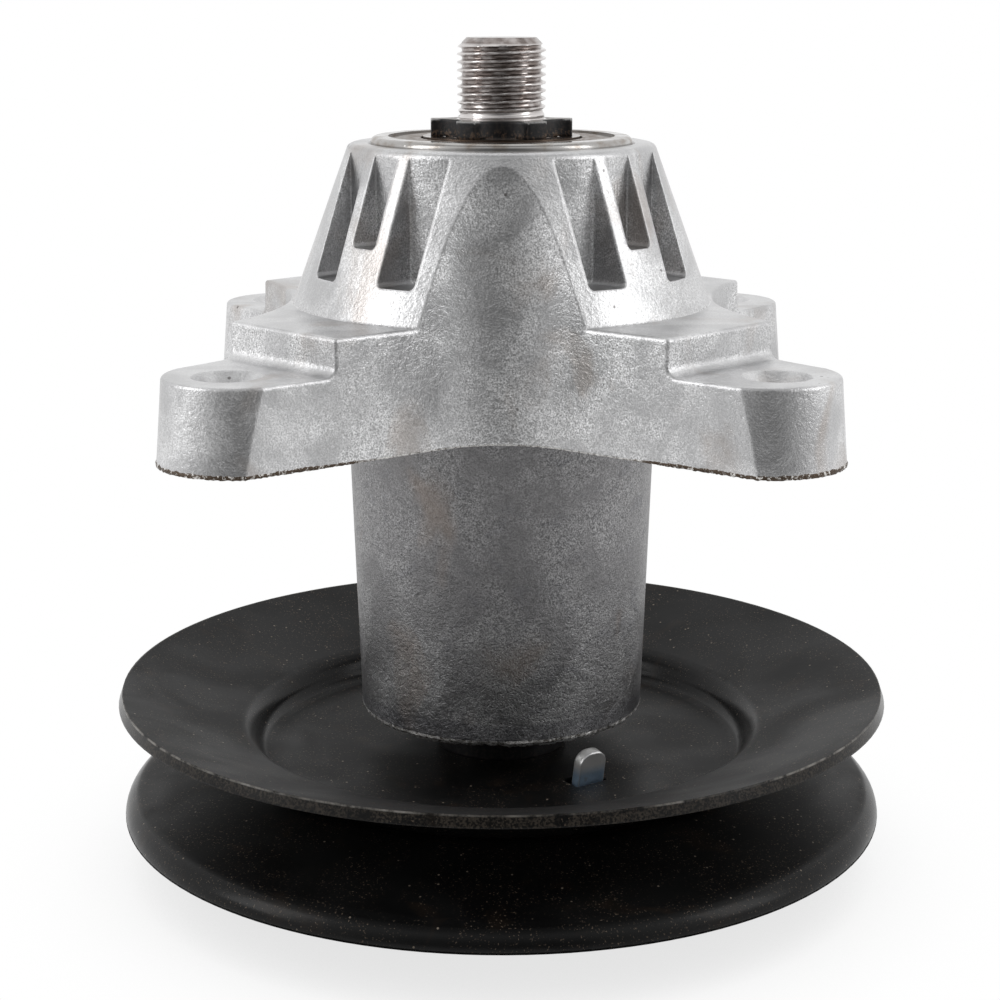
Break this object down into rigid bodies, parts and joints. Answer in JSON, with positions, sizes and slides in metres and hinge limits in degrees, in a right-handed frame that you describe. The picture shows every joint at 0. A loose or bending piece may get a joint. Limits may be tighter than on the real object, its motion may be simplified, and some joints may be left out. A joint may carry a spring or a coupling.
{
  "type": "mower deck spindle",
  "caption": "Mower deck spindle: ribbed cast housing with bolt ears, a shaft on ball bearings with a threaded blade end, and a pressed belt pulley.",
  "frame": {"origin": "centre of the deck mounting face under the four ears, on the spindle axis", "axes": "+Z along the spindle axis towards the blade end, X and Y between the ears"},
  "size_m": [0.144, 0.144, 0.1536],
  "materials": {
    "cast_aluminium": "die cast",
    "shaft_steel": "machined",
    "black_oxide": "black oxide",
    "black_paint": "satin black",
    "zinc_plate": "zinc plated",
    "bearing_steel": "ground",
    "shield_steel": "satin"
  },
  "bodies": {
    "housing": {"spindle_housing": "cast_aluminium", "blade_bearing_outer_ring": "bearing_steel", "blade_bearing_upper_shield": "shield_steel", "blade_bearing_lower_shield": "shield_steel", "pulley_bearing_outer_ring": "bearing_steel", "pulley_bearing_upper_shield": "shield_steel", "pulley_bearing_lower_shield": "shield_steel"},
    "rotor": {"spindle_shaft": "shaft_steel", "blade_star": "black_oxide", "blade_bearing_inner_ring": "bearing_steel", "pulley_bearing_inner_ring": "bearing_steel", "spacer_sleeve": "shaft_steel", "pulley_spacer": "black_oxide", "pulley_upper_half": "black_paint", "pulley_lower_half": "black_paint", "drive_plate": "zinc_plate", "pulley_nut": "zinc_plate"},
    "blade_cage": {"blade_bearing_cage": "shield_steel", "blade_bearing_balls": "bearing_steel"},
    "pulley_cage": {"pulley_bearing_cage": "shield_steel", "pulley_bearing_balls": "bearing_steel"}
  },
  "joints": [
    {"name": "spindle_spin", "type": "hinge", "parent": "housing", "child": "rotor", "pos_m": [0, 0, 0], "axis": [0, 0, 1], "continuous": true},
    {"name": "blade_cage_spin", "type": "hinge", "parent": "housing", "child": "blade_cage", "pos_m": [0, 0, 0], "axis": [0, 0, 1], "continuous": true},
    {"name": "pulley_cage_spin", "type": "hinge", "parent": "housing", "child": "pulley_cage", "pos_m": [0, 0, 0], "axis": [0, 0, 1], "continuous": true}
  ],
  "couplings": [
    {"joint": "blade_cage_spin", "follows": "spindle_spin", "ratio": 0.3815},
    {"joint": "pulley_cage_spin", "follows": "spindle_spin", "ratio": 0.3815}
  ]
}
